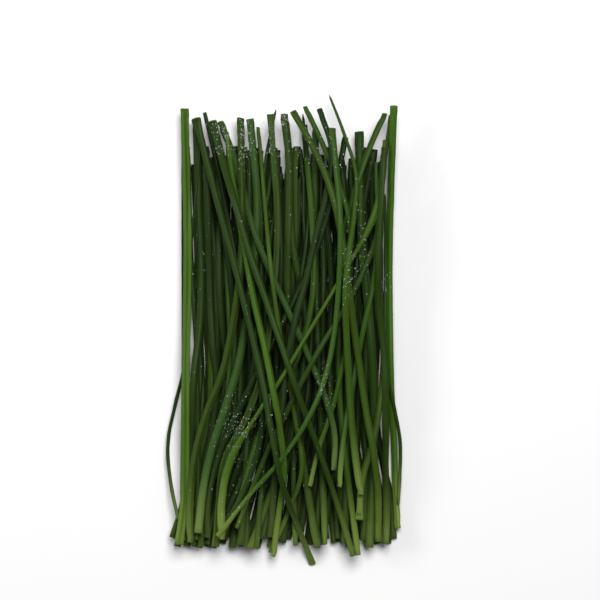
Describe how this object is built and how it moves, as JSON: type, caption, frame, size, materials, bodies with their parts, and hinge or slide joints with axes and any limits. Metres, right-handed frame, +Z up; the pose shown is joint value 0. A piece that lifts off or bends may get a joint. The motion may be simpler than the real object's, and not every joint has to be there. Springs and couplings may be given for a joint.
{
  "type": "chive bunch",
  "caption": "Bunch of fresh cut chives lying flat: long slim hollow leaves, side by side and crossing, with cut feet at one end and cut or pointed tips at the other.",
  "frame": {"origin": "the middle of the ground that the bunch covers, on the surface it lies on", "axes": "+Y along the leaves from the cut feet to the tips, +X across the bunch, +Z up from the surface"},
  "size_m": [0.0886, 0.1768, 0.0252],
  "materials": {
    "chive_deep": "satin",
    "chive_mid": "satin",
    "chive_bright": "satin",
    "chive_grey": "satin"
  },
  "bodies": {
    "root": {"chives_01": "chive_deep", "chives_02": "chive_deep", "chives_03": "chive_mid", "chives_04": "chive_deep", "chive_05": "chive_deep", "chives_06": "chive_deep", "chives_07": "chive_mid", "chives_08": "chive_deep", "chives_09": "chive_deep", "chives_10": "chive_mid", "chives_11": "chive_deep", "chives_12": "chive_mid", "chives_13": "chive_deep", "chives_14": "chive_mid", "chives_15": "chive_deep", "chives_16": "chive_deep", "chives_17": "chive_mid", "chives_18": "chive_deep", "chive_19": "chive_mid", "chives_20": "chive_deep", "chive_21": "chive_deep", "chive_22": "chive_mid", "chive_23": "chive_deep", "chive_24": "chive_deep", "chive_25": "chive_mid", "chive_26": "chive_mid", "chive_27": "chive_mid", "chive_28": "chive_deep", "chive_29": "chive_deep", "chive_30": "chive_deep", "chive_31": "chive_mid", "chive_32": "chive_deep", "chive_33": "chive_mid", "chive_34": "chive_mid", "chive_35": "chive_grey", "chive_36": "chive_mid", "chive_37": "chive_mid", "chive_38": "chive_deep", "chive_39": "chive_bright", "chive_40": "chive_mid", "chive_41": "chive_grey", "chive_42": "chive_mid", "chive_43": "chive_mid", "chive_44": "chive_mid", "chive_45": "chive_mid", "chive_46": "chive_grey", "chive_47": "chive_mid", "chive_48": "chive_bright", "chive_49": "chive_bright", "chive_50": "chive_mid", "chive_51": "chive_bright", "chive_52": "chive_bright", "chive_53": "chive_bright", "chive_54": "chive_mid", "chive_55": "chive_bright", "chive_56": "chive_bright", "chive_57": "chive_bright"}
  },
  "joints": []
}
